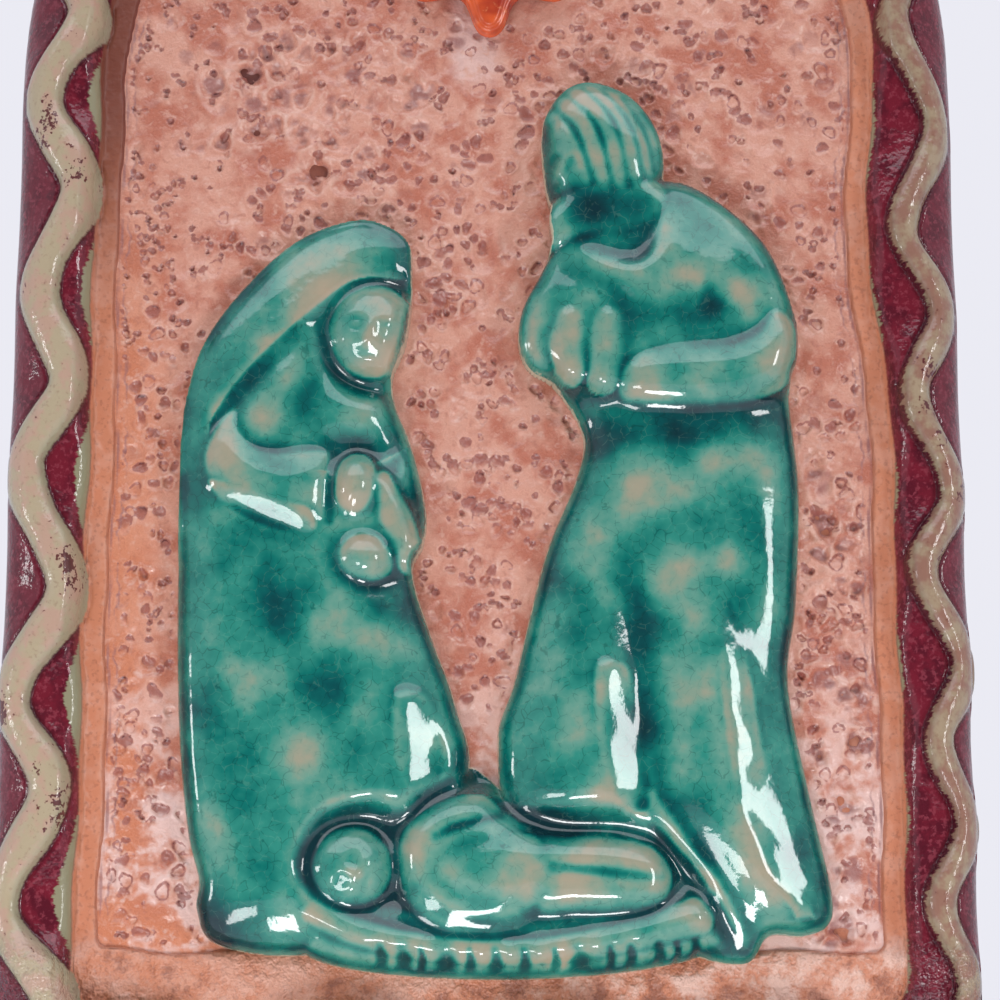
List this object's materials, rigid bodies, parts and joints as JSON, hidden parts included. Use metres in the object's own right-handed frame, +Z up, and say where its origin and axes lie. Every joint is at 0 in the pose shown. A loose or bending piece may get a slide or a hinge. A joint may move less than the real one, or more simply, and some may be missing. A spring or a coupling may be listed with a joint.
{
  "type": "decorative wall plaque",
  "caption": "Arched glazed ceramic wall plaque with a nativity group and a star in relief inside a border with a wavy coil; it hangs flat on a wall from a slot in its back.",
  "frame": {"origin": "middle of the flat back face, at half the height", "axes": "+Z up, the relief faces -Y, +Y points into the wall, +X to the viewer's right"},
  "size_m": [0.1669, 0.0205, 0.2622],
  "materials": {
    "plaque": "bare clay ground with gloss green, oxblood, beige and orange glazes"
  },
  "bodies": {
    "root": {"plaque": "plaque"}
  },
  "joints": []
}
